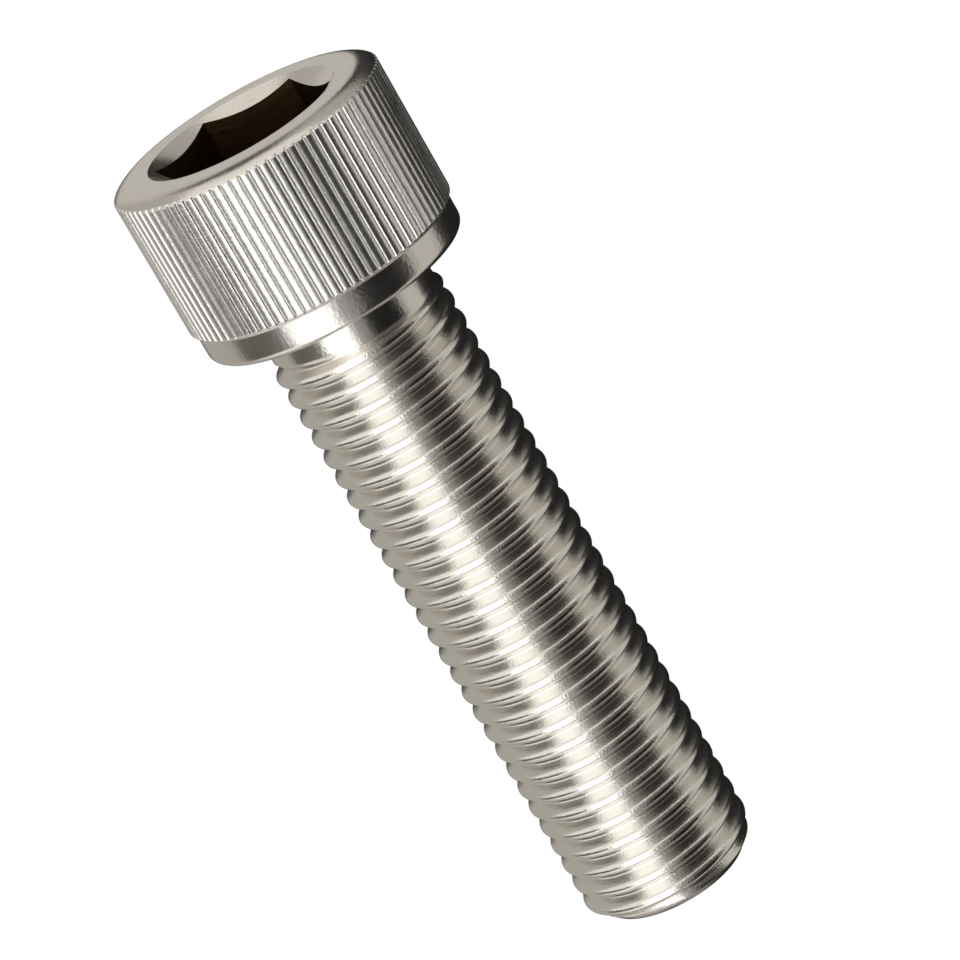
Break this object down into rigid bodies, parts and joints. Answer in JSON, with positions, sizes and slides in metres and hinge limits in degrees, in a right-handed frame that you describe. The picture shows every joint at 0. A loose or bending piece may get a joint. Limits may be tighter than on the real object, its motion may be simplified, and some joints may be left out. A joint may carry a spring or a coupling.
{
  "type": "socket head cap screw",
  "caption": "Socket head cap screw in stainless steel: knurled cylindrical head with a countersunk hexagon socket, fully threaded shank with a chamfered tip",
  "frame": {"origin": "centre of the head's flat face, on the floor: the screw stands on its head", "axes": "+Z runs along the shank from the head's face to the tip; +X points at a corner of the hexagon socket, so two of its flats face +Y and -Y"},
  "size_m": [0.0244, 0.0244, 0.076],
  "materials": {
    "stainless_steel": "rolled and turned stainless steel, bright, with fine turning marks and a dark socket"
  },
  "bodies": {
    "root": {"socket_head_cap_screw": "stainless_steel"}
  },
  "joints": []
}
